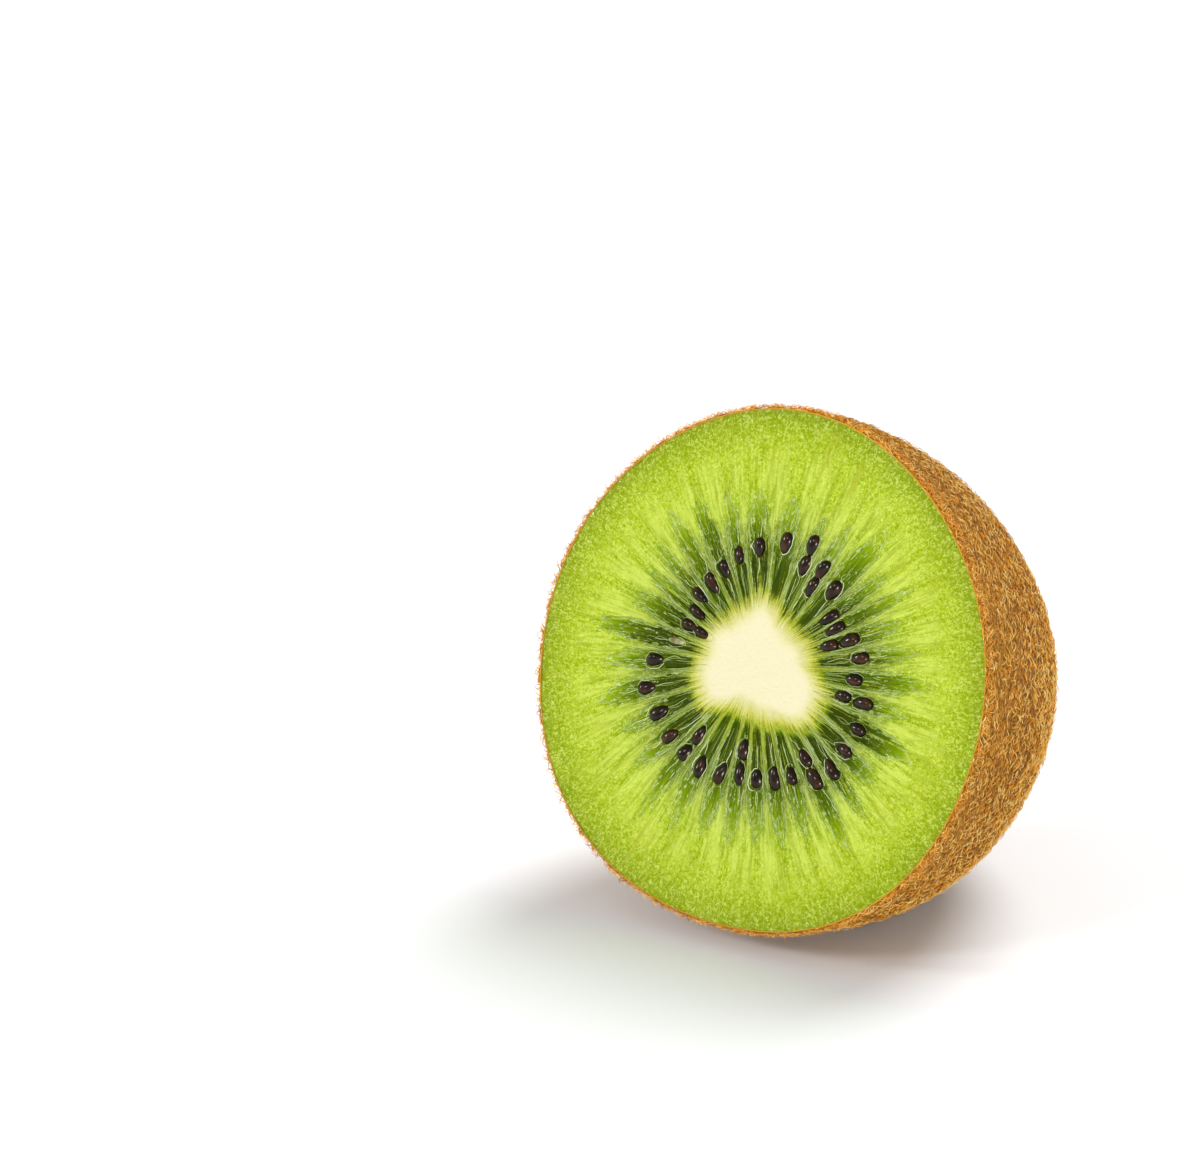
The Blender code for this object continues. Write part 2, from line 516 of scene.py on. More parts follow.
PALE_EVERY = 40  # one seed in so many stayed empty and pale
SEED_SINK = 0.10 * MM
dark_copies = []
pale_copies = []
seed_poses = []
for index, place in enumerate(seed_spots):
    heading = math.atan2(place[1] - CORE_CENTRE[1], place[0] - CORE_CENTRE[0])
    heading += chance.normal(0.0, 0.14)
    size = chance.uniform(0.86, 1.10, 3)
    pale = index % PALE_EVERY == PALE_EVERY // 2
    if pale:
        size = size * np.array([0.95, 0.62, 0.45])
    tip = Matrix.Rotation(chance.normal(0.0, 0.10), 4, "Y")
    roll = Matrix.Rotation(chance.normal(0.0, 0.25), 4, "X")
    stretch = Matrix.Diagonal((*size, 1.0))
    sink = Vector((0.0, 0.0, SEED_SINK + chance.normal(0.0, 0.05) * MM))
    pose = Matrix.Translation(Vector(place) - sink)
    pose = pose @ Matrix.Rotation(heading, 4, "Z") @ tip @ roll @ stretch
    seed_poses.append((pose, heading, size))
    copies = pale_copies if pale else dark_copies
    copies.append(place_copy(seed_form, "seed", pose))
bpy.data.objects.remove(seed_form)
seeds = join(dark_copies, "seeds")
pale_seeds = join(pale_copies, "pale_seeds")
for piece in (seeds, pale_seeds):
    lay_in(piece)
    smooth(piece)
print("seeds:", len(seeds.data.polygons), "faces")

# %% [markdown]
# ## Strands
# Membranes and hairs are both thin strands that bend. By hand one would extrude a triangle
# along a path and shrink it to a point; there are thousands, and each has to follow its own
# path, so one function does that extrusion for a whole array of paths at once. Every strand
# is closed: a cap at the root, three sides, and a tip. Its texture map gives it a narrow
# column of its own, with the root at the bottom and the tip at the top, so that one material
# can vary from strand to strand and along each one.


# %% A function for many strands
TONE_COLUMNS = 128


def strands(name, paths, thickness, tones):
    """Join tapered three-sided strands into one piece. paths: strand, station, xyz."""
    count, stations, _ = paths.shape
    ahead = np.gradient(paths, axis=1)
    ahead /= np.linalg.norm(ahead, axis=2, keepdims=True)
    chord = paths[:, -1] - paths[:, 0]
    turn = np.random.default_rng(count).normal(size=(count, 3))
    across_chord = np.cross(chord, turn)[:, None, :]
    first = across_chord - ahead * np.sum(across_chord * ahead, axis=2, keepdims=True)
    first /= np.linalg.norm(first, axis=2, keepdims=True)
    second = np.cross(ahead, first)

    rings = stations - 1
    corner_turn = np.arange(3) * 2.0 * math.pi / 3.0
    radius = thickness[:, :rings, None, None]
    ring_points = paths[:, :rings, None, :] + radius * (
        np.cos(corner_turn)[:, None] * first[:, :rings, None, :]
        + np.sin(corner_turn)[:, None] * second[:, :rings, None, :]
    )
    ring_points = ring_points.reshape(count, rings * 3, 3)
    ring_points = np.concatenate([ring_points, paths[:, -1:, :]], axis=1)
    per_strand = ring_points.shape[1]

    corner = np.arange(3)
    after = (corner + 1) % 3
    level = np.arange(rings - 1)[:, None] * 3
    sides = np.stack(
        [level + corner, level + after, level + 3 + after, level + 3 + corner], axis=-1
    ).reshape(-1, 4)
    last = (rings - 1) * 3
    tip = np.stack([last + corner, last + after, np.full(3, per_strand - 1)], axis=-1)
    faces = [[2, 1, 0]] + sides.tolist() + tip.tolist()
    sizes = np.array([len(face) for face in faces])
    loop = np.concatenate([np.array(face) for face in faces])
    base = np.arange(count)[:, None] * per_strand
    mesh = bpy.data.meshes.new(name)
    mesh.vertices.add(count * per_strand)
    mesh.vertices.foreach_set("co", ring_points.astype(np.float32).ravel())
    mesh.loops.add(count * len(loop))
    mesh.loops.foreach_set("vertex_index", (base + loop).astype(np.int32).ravel())
    mesh.polygons.add(count * len(faces))
    starts = np.cumsum(np.tile(sizes, count)) - np.tile(sizes, count)
    mesh.polygons.foreach_set("loop_start", starts.astype(np.int32))
    mesh.update(calc_edges=True)

    station = np.minimum(loop // 3, stations - 1) / (stations - 1.0)
    spread = np.where(loop == per_strand - 1, 1, loop % 3)
    column = np.floor(np.clip(tones, 0.0, 0.999) * TONE_COLUMNS)[:, None]
    u = (column + 0.15 + 0.35 * spread) / TONE_COLUMNS
    v = np.broadcast_to(0.02 + 0.96 * station, u.shape)
    chart = mesh.uv_layers.new(name="OFBake")
    chart.data.foreach_set("uv", np.stack([u, v], axis=-1).astype(np.float32).ravel())
    mesh.polygons.foreach_set("use_smooth", np.ones(len(mesh.polygons), dtype=bool))
    piece = bpy.data.objects.new(name, mesh)
    bpy.context.scene.collection.objects.link(piece)
    print(f"{name}: {count} strands, {count * (2 * len(sides) + len(tip) + 1)} triangles")
    return piece


# %% [markdown]
# ## The membranes
# Each seed lies in a thin wet skin of its own, and torn shreds of the chamber's lining catch
# the light round it. On the real fruit they are what makes the ring of seeds sparkle: pale
# wiry lines, as fine as hairs. Arcs hug the outline of each seed; tails run from its ends;
# long threads follow both sides of every chamber; and short flecks feather its outer end.


# %% Draw the arcs and tails
THREAD = 0.056 * MM  # half the width of a thread
THREAD_LIFT = 0.005 * MM
ARC_LIFT = 0.06 * MM  # arcs climb a little up the sides of their seeds
TAIL_END = 0.27 * FACE_RADIUS  # tails stop this far from the middle of the face
ARC_STATIONS = 13
TAIL_STATIONS = 9


def lay_on_face(x, y, lift):
    """Places on the relief of the cut face, lifted a little off it."""
    return np.stack([x, y, cut_face(x, y)[0] + lift], axis=-1)


def beside_seed(pose, heading, ahead, aside):
    """Places on the face, measured from a seed's middle along it and across it."""
    x = pose.translation.x + ahead * math.cos(heading) - aside * math.sin(heading)
    y = pose.translation.y + ahead * math.sin(heading) + aside * math.cos(heading)
    return x, y


arc_paths = []
tail_paths = []
for pose, heading, size in seed_poses:
    for side_turn in (0.0, math.pi):
        middle = side_turn + math.pi / 2.0 + chance.normal(0.0, 0.5)
        half_arc = chance.uniform(0.6, 1.5)
        turn = np.linspace(middle - half_arc, middle + half_arc, ARC_STATIONS)
        wobble = 1.09 + 0.05 * np.sin(4.0 * turn + chance.uniform(0.0, 6.0))
        wobble = wobble + 0.03 * np.sin(9.0 * turn + chance.uniform(0.0, 6.0))
        ahead = 0.5 * SEED_LENGTH * size[0] * wobble * np.cos(turn)
        aside = 0.5 * SEED_WIDTH * size[1] * wobble * np.sin(turn) * (1.0 + 0.18 * np.cos(turn))
        arc_paths.append(lay_on_face(*beside_seed(pose, heading, ahead, aside), ARC_LIFT))
    run = np.linspace(0.0, 1.0, TAIL_STATIONS)
    to_core = math.hypot(pose.translation.x, pose.translation.y) - TAIL_END
    to_core = max(to_core - 0.5 * SEED_LENGTH, 0.4 * MM)
    for way, reach in ((-1.0, 3.2 * MM), (-1.0, 2.4 * MM), (1.0, 2.4 * MM), (1.0, 1.6 * MM)):
        length = reach * chance.uniform(0.6, 1.2)
        if way < 0.0:
            length = min(length, to_core)
        ahead = way * (0.5 * SEED_LENGTH * size[0] + length * run)
        aside = chance.normal(0.0, 0.16) * MM * np.sin(3.0 * run)
        aside = aside + 0.03 * MM * np.sin(9.0 * run + chance.uniform(0.0, 6.0))
        tail_paths.append(lay_on_face(*beside_seed(pose, heading, ahead, aside), THREAD_LIFT))
print(len(arc_paths), "arcs,", len(tail_paths), "tails")

# %% A function for strands along the chambers
SHRED_STATIONS = 7


def shred_paths(number, across, share, reach, sway):
    """Strands that start at these places and run outwards along their chambers."""
    count = len(number)
    run = np.linspace(0.0, 1.0, SHRED_STATIONS)
    share = share[:, None] + reach[:, None] * run
    start = core_edge(np.zeros(count))[:, None] / FACE_RADIUS
    along = (share - start) / (chamber_length[number][:, None] - start)
    narrow = chamber_opening(number[:, None], along) / chamber_opening(number, 0.5)[:, None]
    ripple = np.sin(chance.uniform(3.0, 9.0, (count, 1)) * run + chance.uniform(0, 6, (count, 1)))
    ripple = ripple + 0.4 * np.sin(chance.uniform(9, 16, (count, 1)) * run)
    across = across[:, None] * np.clip(narrow, 0.10, 1.3) + sway[:, None] * ripple
    x, y = in_chamber(np.repeat(number[:, None], SHRED_STATIONS, axis=1), across, share)
    return lay_on_face(x, y, THREAD_LIFT)


# %% Give every chamber its threads and flecks
SIDE_THREADS = 5  # on each side of a chamber
FLECKS = 46  # in a chamber, mostly in its outer end
CORE_THREADS = 5  # between the core and the seeds

every = np.arange(CHAMBERS)
number = np.repeat(every, 2 * SIDE_THREADS)
count = len(number)
where = np.where(np.arange(count) % 2 == 0, 1.0, -1.0) * chamber_width[number]
side_paths = shred_paths(
    number,
    where + chance.normal(0.0, 0.06, count),
    0.29 + (0.80 * chamber_length[number] - 0.29) * chance.random(count),
    chance.uniform(0.06, 0.20, count),
    chance.uniform(0.02, 0.06, count),
)
number = np.repeat(every, FLECKS)
count = len(number)
outwards = np.sqrt(chance.random(count))
fleck_paths = shred_paths(
    number,
    chamber_width[number] * np.sin(chance.uniform(-1.5, 1.5, count)),
    0.40 + (0.97 * chamber_length[number] - 0.40) * outwards,
    chance.uniform(0.006, 0.024, count),
    chance.uniform(0.01, 0.05, count),
)
number = np.repeat(every, CORE_THREADS)
count = len(number)
core_paths = shred_paths(
    number,
    chance.uniform(-1.0, 1.0, count),
    chance.uniform(0.24, 0.32, count),
    chance.uniform(0.06, 0.14, count),
    chance.uniform(0.01, 0.03, count),
)
print(len(side_paths), len(fleck_paths), len(core_paths), "shreds")

# %% Make the membranes
membrane_parts = []
# brightness: the middle tone of each kind of membrane; its paler end is partly painted wet sparkle.
for name, paths, slimness, brightness in (
    ("arcs", arc_paths, 0.70, 0.66),
    ("tails", tail_paths, 0.65, 0.50),
    ("side_threads", side_paths, 0.52, 0.32),
    ("flecks", fleck_paths, 0.56, 0.42),
    ("core_threads", core_paths, 0.46, 0.34),
):
    paths = np.array(paths)
    ones = np.ones(paths.shape[:2])
    thickness = THREAD * slimness * ones * chance.uniform(0.6, 1.3, (len(paths), 1))
    tones = brightness + chance.normal(0.0, 0.20, len(paths))
    membrane_parts.append(strands(name, paths, thickness, tones))
membranes = join(membrane_parts, "membranes")
lay_in(membranes)
print("membranes:", len(membranes.data.polygons), "faces")

# %% [markdown]
# ## The stalk scar
# Where the stalk was, a kiwi fruit keeps a flat woody button in a dark little moat, with torn
# flakes of bark on it. It faces away from the cut, but a part is looked at from all sides, so
# it gets its own piece: a turned disc, roughened in code by uneven waves and by flat flakes.

# %% Make the stalk button
BUTTON_RADIUS = 5.4 * MM
BUTTON_TOP = 0.50 * MM
BUTTON_ROOT = 0.9 * MM  # how deep the button stands in the skin
FLAKES = 70

end = body[body[:, 2] < -HALF_LENGTH + 0.4 * MM].mean(axis=0)
STALK_END = Vector((end[0], end[1], -HALF_LENGTH))
rounding = np.linspace(0.0, math.pi / 2.0, 7)
outline = [(r * BUTTON_RADIUS, BUTTON_TOP) for r in np.linspace(0.0, 0.90, 24)]
outline += [
    (BUTTON_RADIUS * (0.90 + 0.10 * math.sin(a)), BUTTON_TOP * math.cos(a)) for a in rounding[1:]
]
outline += [(BUTTON_RADIUS * 0.97, -BUTTON_ROOT), (0.0, -BUTTON_ROOT)]
stalk_button = turned_piece("stalk_button", outline, 96)

places = points(stalk_button)
flat = places[:, :2] / MM
distance = np.hypot(flat[:, 0], flat[:, 1]) * MM / BUTTON_RADIUS
flake_centres = chance.uniform(-5.5, 5.5, (FLAKES, 2))
gaps = np.linalg.norm(flat[:, None, :] - flake_centres[None, :, :], axis=2)
nearest = np.sort(gaps, axis=1)
flake_height = chance.uniform(-0.16, 0.22, FLAKES)[np.argmin(gaps, axis=1)]
crack = smoothstep(0.0, 0.35, nearest[:, 1] - nearest[:, 0])
rough = flake_height * crack + 0.12 * waves(flat * 1.3, seed=31) - 0.12 * (1.0 - crack)
bowl = -0.28 * np.exp(-((distance / 0.35) ** 2)) + 0.22 * np.exp(-(((distance - 0.8) / 0.12) ** 2))
upper = places[:, 2] > 0.0
places[:, 2] += np.where(upper, (rough + bowl) * MM, 0.0)
around = flat / np.maximum(np.linalg.norm(flat, axis=1, keepdims=True), 1e-6)
places[:, :2] *= 1.0 + 0.045 * waves(around * 2.5, seed=33)[:, None]
set_points(stalk_button, places)
keep(stalk_button, "height", rough + bowl)
keep(stalk_button, "crack", np.where(upper, 1.0 - crack, 1.0))
stalk_button.data.transform(Matrix.Translation(STALK_END) @ Matrix.Rotation(math.pi, 4, "X"))
lay_in(stalk_button)
smooth(stalk_button)
print("stalk button:", len(stalk_button.data.polygons), "faces at", tuple(STALK_END / MM))

# %% [markdown]
# ## The hairs
# A kiwi fruit's coat is made of short, stiff, wavy brown hairs. They lie down round the fruit,
# cross each other, and are sparser near the cut, where a fringe of them stands up. Blender's
# hair curves would do for a render, but a part hands over its true shape: every hair is mesh.
# We pick seeded places on the skin, comb each hair to one side or the other of the way to the
# stalk, and let its heading turn along the way, so that it curls.

# %% Measure the skin for combing
FOOT_HEIGHT = 0.25 * MM  # no hair grows on the flat spot that the half rests on
SCAR_REACH = 5.9 * MM  # and none this close to the middle of the stalk scar


def corners_of(index):
    """The vertices of one of the skin's faces, in the order of their numbers."""
    return sorted(skin.data.polygons[index].vertices)


# An extrusion lists its new faces in an order that can change from run to run. The seeded
# choice below goes by order, so the lip's faces are put in the order of their vertices.
lip_faces = sorted(range(rind_faces, len(skin.data.polygons)), key=corners_of)
face_order = list(range(rind_faces)) + lip_faces


def of_faces(what, width):
    """A measure of each of the skin's faces, with this many numbers in it, as an array."""
    flat = np.empty(len(skin.data.polygons) * width)
    skin.data.polygons.foreach_get(what, flat)
    return flat.reshape(-1, width)[face_order]


spots = of_faces("center", 3)
outward = of_faces("normal", 3)
area = of_faces("area", 1)[:, 0]
flat_spots = seen_from_face(spots)
flat_outward = outward @ np.array(FACE.to_3x3())
depth = -flat_spots[:, 2]  # distance behind the cut face
from_stalk = np.linalg.norm(flat_spots - np.array(STALK_END), axis=1)
on_lip = np.sum(flat_outward * flat_spots * np.array([1.0, 1.0, 0.3]), axis=1) <= 0.0
bare = (spots[:, 2] < FOOT_HEIGHT) | on_lip | (from_stalk < SCAR_REACH)
skin_area = float(area[~bare].sum())
ahead_on_skin = np.array(FACE @ STALK_END) - spots
ahead_on_skin -= outward * np.sum(ahead_on_skin * outward, axis=1, keepdims=True)
ahead_on_skin /= np.linalg.norm(ahead_on_skin, axis=1, keepdims=True)
print(f"skin to comb: {skin_area / MM**2:.0f} square mm")

# %% Keep hairs off the cut face
RIM_GAP = 0.03 * MM
RIM_REACH = 0.20 * MM  # hairs this close behind the cut stay outside its outline
RIM_FORWARD = 0.25 * MM  # and none reaches further than this in front of it


def keep_off_face(paths):
    """Push strands that stray over the cut face out past its rim."""
    local = seen_from_face(paths)
    distance = np.hypot(local[..., 0], local[..., 1])
    edge = rim_radius(np.arctan2(local[..., 1], local[..., 0])) + RIM_GAP
    stray = (local[..., 2] > -RIM_REACH) & (distance < edge)
    local[..., :2] *= np.where(stray, edge / np.maximum(distance, 1e-6), 1.0)[..., None]
    local[..., 2] = np.minimum(local[..., 2], RIM_FORWARD)
    return local @ np.array(FACE.to_3x3()).T + np.array(face_centre)


# %% A function for combed hairs
ACROSS = math.radians(75.0)  # how far the hairs turn away from the way to the stalk
HAIR_ROOT = 0.06 * MM  # how deep a hair stands in the skin
HAIR_ARCH = 2.3  # the stretch of a sine wave that a hair rises along: pi would end on the skin
HAIR_WAVE = 0.45  # how far its heading swings to and fro, in radians
HAIR_WAVES = 6.0  # how fast it swings
FLOOR_GAP = 0.07 * MM


def comb(
    name, count, wanted, length, standing, spread, curl, thick, tone, stations=5, lift=0.0
):
    """Grow hairs on the skin.

    wanted is how dense they are, by face. Length, standing (the height over the skin), curl
    and thick are ranges, low and high. A negative lift makes the tips stand up.
    """
    odds = area * np.where(bare, 0.0, wanted)
    face = chance.choice(len(odds), count, p=odds / odds.sum())
    normal = outward[face]
    ahead = ahead_on_skin[face]
    aside = np.cross(normal, ahead)
    jitter = chance.uniform(-0.5, 0.5, (count, 2)) * np.sqrt(area[face])[:, None]
    root = spots[face] + ahead * jitter[:, :1] + aside * jitter[:, 1:]

    run = np.linspace(0.0, 1.0, stations)
    sense = np.where(chance.random(count) < 0.5, -1.0, 1.0)
    side = np.where(chance.random(count) < 0.5, -ACROSS, ACROSS)
    heading = (side + chance.normal(0.0, spread, count))[:, None]
    bend = (sense * chance.uniform(*curl, count))[:, None]
    heading = heading + bend * (run - 0.5)
    swing = np.sin(HAIR_WAVES * run + chance.uniform(0, 6, (count, 1)))
    heading = heading + HAIR_WAVE * swing
    step = chance.uniform(*length, count)[:, None] / (stations - 1)
    heading = heading[:, :-1]
    start = np.zeros((count, 1))
    forward = np.concatenate([start, np.cumsum(step * np.cos(heading), axis=1)], axis=1)
    sideways = np.concatenate([start, np.cumsum(step * np.sin(heading), axis=1)], axis=1)
    height = chance.uniform(*standing, count)[:, None] * np.sin(HAIR_ARCH * run + lift * run)
    sinking = (forward**2 + sideways**2) / (2.0 * FACE_RADIUS)
    up = height - sinking - HAIR_ROOT * (1.0 - run)
    paths = (
        root[:, None, :]
        + forward[:, :, None] * ahead[:, None, :]
        + sideways[:, :, None] * aside[:, None, :]
        + up[:, :, None] * normal[:, None, :]
    )
    paths = keep_off_face(paths)
    paths[:, :, 2] = np.maximum(paths[:, :, 2], FLOOR_GAP)
    width = chance.uniform(*thick, count)[:, None] * (1.0 - 0.35 * run)
    return strands(name, paths, width, np.clip(tone(face), 0.0, 1.0))


# %% A function for the tones of hairs
def tone_of(middle, spread):
    """Tones round a middle value, paler in some patches of the skin than in others."""
    patches = 0.02 * waves(spots / (3.0 * MM), seed=41)

    def tone(face):
        return middle + patches[face] + chance.normal(0.0, spread, len(face))

    return tone


# %% Comb the coat
RIM_BAND = 0.9 * MM  # the fringe grows this far behind the cut
STALK_TUFT = 8.5 * MM  # and the tuft this far round the stalk's end

behind_cut = smoothstep(1.5 * MM, 9.0 * MM, depth)
coat = [
    comb(
        "matted_hairs", 12400, 0.45 + 0.55 * behind_cut, length=(0.5 * MM, 1.0 * MM),
        standing=(0.05 * MM, 0.13 * MM), spread=0.45, curl=(0.2, 1.2),
        thick=(0.040 * MM, 0.054 * MM), tone=tone_of(0.30, 0.24), stations=4,
    ),
    comb(
        "short_hairs", 12400, 0.55 + 0.45 * behind_cut, length=(0.5 * MM, 0.9 * MM),
        standing=(0.12 * MM, 0.26 * MM), spread=0.40, curl=(0.2, 1.3),
        thick=(0.036 * MM, 0.048 * MM), tone=tone_of(0.55, 0.34), stations=4,
    ),
    comb(
        "curly_hairs", 9000, 0.65 + 0.35 * behind_cut, length=(0.6 * MM, 1.1 * MM),
        standing=(0.16 * MM, 0.34 * MM), spread=0.55, curl=(0.8, 2.6),
        thick=(0.032 * MM, 0.044 * MM), tone=tone_of(0.64, 0.36),
    ),
    comb(
        "long_hairs", 8000, 0.50 + 0.50 * behind_cut, length=(0.8 * MM, 1.5 * MM),
        standing=(0.20 * MM, 0.50 * MM), spread=0.40, curl=(0.2, 1.6),
        thick=(0.034 * MM, 0.044 * MM), tone=tone_of(0.68, 0.36),
    ),
    comb(
        "rim_hairs", 3000, np.where(depth < RIM_BAND, 1.0, 0.0), length=(0.6 * MM, 1.3 * MM),
        standing=(0.24 * MM, 0.62 * MM), spread=0.9, curl=(0.5, 3.5),
        thick=(0.032 * MM, 0.044 * MM), tone=tone_of(0.52, 0.24), lift=-0.9,
    ),
    comb(
        "stalk_hairs", 1800, np.where(from_stalk < STALK_TUFT, 1.0, 0.0),
        length=(1.2 * MM, 2.4 * MM), standing=(0.40 * MM, 0.90 * MM), spread=0.8,
        curl=(0.3, 2.2), thick=(0.055 * MM, 0.075 * MM), tone=tone_of(0.52, 0.20),
        stations=6, lift=-0.5,
    ),
]

# %% [markdown]
# ## Materials
# Every finish is procedural. Patterns read the object's own coordinates, the masks that we
# kept on the flesh, or the strands' own texture map, so they stay put from every side and can
# be baked. Effects that several finishes share are node groups with named sockets.


# %% Helpers for nodes
def tint(red, green, blue):
    """A colour given as on a paint chart, 0 to 255, turned into the linear light of shaders."""
    def linear(value):
        value = value / 255.0
        return value / 12.92 if value <= 0.04045 else ((value + 0.055) / 1.055) ** 2.4

    return (linear(red), linear(green), linear(blue), 1.0)


def node(tree, kind, inputs=None, **settings):
    """Add a node; inputs may be plain values or other nodes' sockets."""
    made = tree.nodes.new(kind)
    for key, value in settings.items():
        setattr(made, key, value)
    for key, value in (inputs or {}).items():
        if isinstance(value, bpy.types.NodeSocket):
            tree.links.new(value, made.inputs[key])
        else:
            made.inputs[key].default_value = value
    return made


def calculate(tree, operation, first, second=0.0, third=0.0):
    """A Math node's result."""
    inputs = {0: first, 1: second, 2: third}
    return node(tree, "ShaderNodeMath", inputs, operation=operation).outputs[0]


def blend(tree, factor, first, second):
    """A Mix node's colour: the first where the factor is 0, the second where it is 1."""
    inputs = {0: factor, 6: first, 7: second}
    return node(tree, "ShaderNodeMix", inputs, data_type="RGBA").outputs[2]


def ramp(tree, factor, stops):
    """A Color Ramp's colour, through these stops: place and colour."""
    made = node(tree, "ShaderNodeValToRGB", {0: factor})
    while len(made.color_ramp.elements) < len(stops):
        made.color_ramp.elements.new(1.0)
    for element, (place, color) in zip(made.color_ramp.elements, stops):
        element.position = place
        element.color = color
    return made.outputs[0]


def rise(tree, value, low, high):
    """0 below low, 1 above high, and a soft rise between them."""
    inputs = {"Value": value, "From Min": low, "From Max": high}
    made = node(tree, "ShaderNodeMapRange", inputs, interpolation_type="SMOOTHSTEP")
    return made.outputs["Result"]


# %% Helpers for patterns and finishes
def noise(tree, vector, scale, detail=2.0, roughness=0.5, distortion=0.0):
    """A Noise Texture's value."""
    inputs = {
        "Vector": vector, "Scale": scale, "Detail": detail, "Roughness": roughness,
        "Distortion": distortion,
    }
    return node(tree, "ShaderNodeTexNoise", inputs).outputs[0]


def attribute(tree, name):
    """A mask that was kept on the mesh."""
    return node(tree, "ShaderNodeAttribute", attribute_name=name).outputs["Fac"]


def finish(name, **constants):
    """A new material, its node tree and its shader, with constant sockets set on the shader."""
    material = bpy.data.materials.new(name)
    material.use_nodes = True
    tree = material.node_tree
    shader = tree.nodes["Principled BSDF"]
    for key, value in constants.items():
        shader.inputs[key.replace("_", " ")].default_value = value
    return material, tree, shader


def object_coordinates(tree):
    """The piece's own coordinates."""
    return node(tree, "ShaderNodeTexCoord").outputs["Object"]


def face_coordinates(tree):
    """Its coordinates turned so that the cut face is the XY plane, with its middle at 0."""
    turned = node(tree, "ShaderNodeMapping", {"Vector": object_coordinates(tree)})
    turned.inputs["Location"].default_value = TO_FACE.translation
    turned.inputs["Rotation"].default_value = TO_FACE.to_euler()
    return turned.outputs["Vector"]


def stretched(tree, vector, scales):
    """A vector with each of its three parts scaled."""
    inputs = {0: vector, 1: scales}
    made = node(tree, "ShaderNodeVectorMath", inputs, operation="MULTIPLY")
    return made.outputs["Vector"]


def roughen(tree, shader, height, strength, distance):
    """Shade a surface as if it rose and fell with a height, by up to this distance."""
    inputs = {"Strength": strength, "Distance": distance, "Height": height}
    bump = node(tree, "ShaderNodeBump", inputs)
    tree.links.new(bump.outputs["Normal"], shader.inputs["Normal"])


# %% Helpers for node groups
def new_group(name, inputs, outputs):
    """An empty node group with named sockets."""
    group = bpy.data.node_groups.new(name, "ShaderNodeTree")
    for title, kind in inputs:
        group.interface.new_socket(title, in_out="INPUT", socket_type=kind)
    for title, kind in outputs:
        group.interface.new_socket(title, in_out="OUTPUT", socket_type=kind)
    return group, group.nodes.new("NodeGroupInput").outputs, group.nodes.new("NodeGroupOutput").inputs


def use(tree, group, inputs=None):
    """Place a node group in a material, and give back its outputs."""
    return node(tree, "ShaderNodeGroup", inputs, node_tree=group).outputs


# %% Mottle, Grain and Strand
# Mottle: three colours drifting into each other in soft patches
mottle, given, result = new_group(
    "Mottle",
    [("Vector", "NodeSocketVector"), ("Scale", "NodeSocketFloat"), ("Dark", "NodeSocketColor"),
     ("Middle", "NodeSocketColor"), ("Light", "NodeSocketColor")],
    [("Color", "NodeSocketColor"), ("Mask", "NodeSocketFloat")],
)
patch = noise(mottle, given["Vector"], given["Scale"], detail=4.0, roughness=0.6, distortion=0.4)
lower = rise(mottle, patch, 0.30, 0.52)
upper = rise(mottle, patch, 0.50, 0.70)
color = blend(mottle, lower, given["Dark"], given["Middle"])
mottle.links.new(blend(mottle, upper, color, given["Light"]), result["Color"])
mottle.links.new(patch, result["Mask"])

# Grain: a coarse and a fine unevenness, as a height for bumps
grain, given, result = new_group(
    "Grain",
    [("Vector", "NodeSocketVector"), ("Coarse Scale", "NodeSocketFloat"),
     ("Fine Scale", "NodeSocketFloat"), ("Fine Share", "NodeSocketFloat")],
    [("Height", "NodeSocketFloat")],
)
coarse = noise(grain, given["Vector"], given["Coarse Scale"], detail=2.0, distortion=0.6)
fine = noise(grain, given["Vector"], given["Fine Scale"], detail=1.0, distortion=0.3)
fine = calculate(grain, "MULTIPLY", fine, given["Fine Share"])
grain.links.new(calculate(grain, "ADD", coarse, fine), result["Height"])

# Strand: the tone of a strand and the place along it, from the strand's own map
strand, given, result = new_group(
    "Strand", [], [("Tone", "NodeSocketFloat"), ("Along", "NodeSocketFloat")]
)
chart = node(strand, "ShaderNodeUVMap", uv_map="OFBake").outputs["UV"]
parts = node(strand, "ShaderNodeSeparateXYZ", {"Vector": chart}).outputs
strand.links.new(parts["X"], result["Tone"])
strand.links.new(parts["Y"], result["Along"])
print("node groups:", [group.name for group in bpy.data.node_groups])


def mottled(tree, place, scale, dark, middle, light):
    """The Mottle group in a material: its outputs."""
    inputs = {"Vector": place, "Scale": scale, "Dark": dark, "Middle": middle, "Light": light}
    return use(tree, mottle, inputs)


def grain_height(tree, place, coarse, fine, share):
    """The Grain group in a material: its height, from two scales and the fine one's share."""
    inputs = {"Vector": place, "Coarse Scale": coarse, "Fine Scale": fine, "Fine Share": share}
    return use(tree, grain, inputs)["Height"]


# %% [markdown]
# ## The finish of the flesh
# From the middle outwards: a cream core that fades through yellow-green; fine pale and dark
# lines between the core and the seeds; dark jelly in the chambers, lighter towards their torn
# outer ends; pale walls between them; and a bright, grainy outer flesh that turns a little
# darker under the skin. Streaks come from a noise that is stretched along the spokes. The
# short helpers here all work in the material in hand, which is always called tree.

# %% Finish the flesh
flesh_finish, tree, shader = finish(
    "kiwi_flesh", IOR=1.38, Specular_IOR_Level=0.05, Coat_Roughness=0.10
)
place = face_coordinates(tree)
spoke = node(tree, "ShaderNodeAttribute", attribute_name="spoke").outputs["Vector"]


def streaks(around, along, detail=3.0, distortion=0.0):
    """Noise stretched along the spokes: how fine it is round the middle and along a spoke."""
    vector = stretched(tree, spoke, (around, around, along))
    return noise(tree, vector, 1.0, detail, 0.6, distortion)


def product(*factors):
    """Masks multiplied together."""
    total = factors[0]
    for factor in factors[1:]:
        total = calculate(tree, "MULTIPLY", total, factor)
    return total


